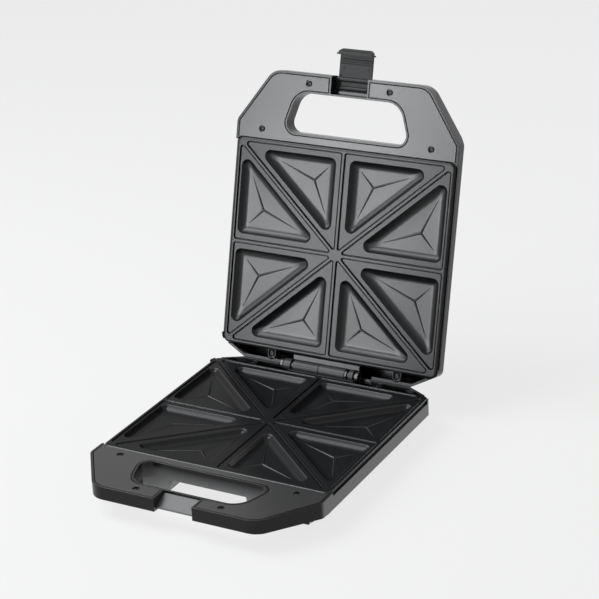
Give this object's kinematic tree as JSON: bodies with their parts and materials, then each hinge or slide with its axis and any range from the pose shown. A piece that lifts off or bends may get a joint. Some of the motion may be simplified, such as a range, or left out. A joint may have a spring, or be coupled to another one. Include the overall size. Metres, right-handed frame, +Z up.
{
  "type": "sandwich toaster",
  "caption": "Countertop sandwich toaster with a hinged lid, two cooking plates with triangular cells, open handles and a latch.",
  "frame": {"origin": "on the surface the feet stand on, under the centre of the part as it stands open", "axes": "+Z up, +Y from the handles to the hinge, +X to the right seen from the handles"},
  "size_m": [0.25, 0.4003, 0.3486],
  "materials": {
    "catch_plastic": "light grey plastic",
    "cover_satin": "fine satin black plastic",
    "foot_rubber": "soft black rubber",
    "heater_steel": "dull heater sheath",
    "hinge_trim": "glossy black",
    "latch_plastic": "dark grey plastic",
    "lens_green": "clear green",
    "lens_red": "clear red",
    "pin_steel": "plain steel",
    "plate_coating": "dark satin non-stick coating on cast aluminium",
    "reflector_sheet": "bright sheet",
    "screw_steel": "darkened steel",
    "shell_gloss": "glossy black moulded plastic",
    "terminal_plastic": "off-white moulding"
  },
  "bodies": {
    "base": {"base_shell": "shell_gloss", "base_handle_cover": "cover_satin", "base_handle_screws": "screw_steel", "base_plate": "plate_coating", "base_plate_screws": "screw_steel", "base_heater": "heater_steel", "base_heater_clips": "heater_steel", "base_clip_screws": "screw_steel", "base_reflector": "reflector_sheet", "thermostat": "heater_steel", "terminal_block": "terminal_plastic", "cord_gland": "shell_gloss", "feet": "foot_rubber", "foot_screws": "screw_steel", "latch_catch": "catch_plastic", "hinge_pin": "pin_steel", "hinge_caps": "hinge_trim", "hinge_washer": "pin_steel"},
    "lid": {"lid_shell": "shell_gloss", "lid_handle_cover": "cover_satin", "lid_handle_screws": "screw_steel", "lid_plate": "plate_coating", "lid_plate_screws": "screw_steel", "lid_heater": "heater_steel", "lid_heater_clips": "heater_steel", "lid_clip_screws": "screw_steel", "lid_reflector": "reflector_sheet", "power_lamp_lens": "lens_red", "ready_lamp_lens": "lens_green", "latch_pin": "pin_steel"},
    "latch": {"latch": "latch_plastic"}
  },
  "joints": [
    {"name": "lid_hinge", "type": "hinge", "parent": "base", "child": "lid", "pos_m": [0, 0.1009, 0.034], "axis": [1, 0, 0], "range_deg": [0, 105]},
    {"name": "latch_pivot", "type": "hinge", "parent": "lid", "child": "latch", "pos_m": [0, 0.18962, 0.31874], "axis": [1, 0, 0], "range_deg": [0, 90]}
  ]
}
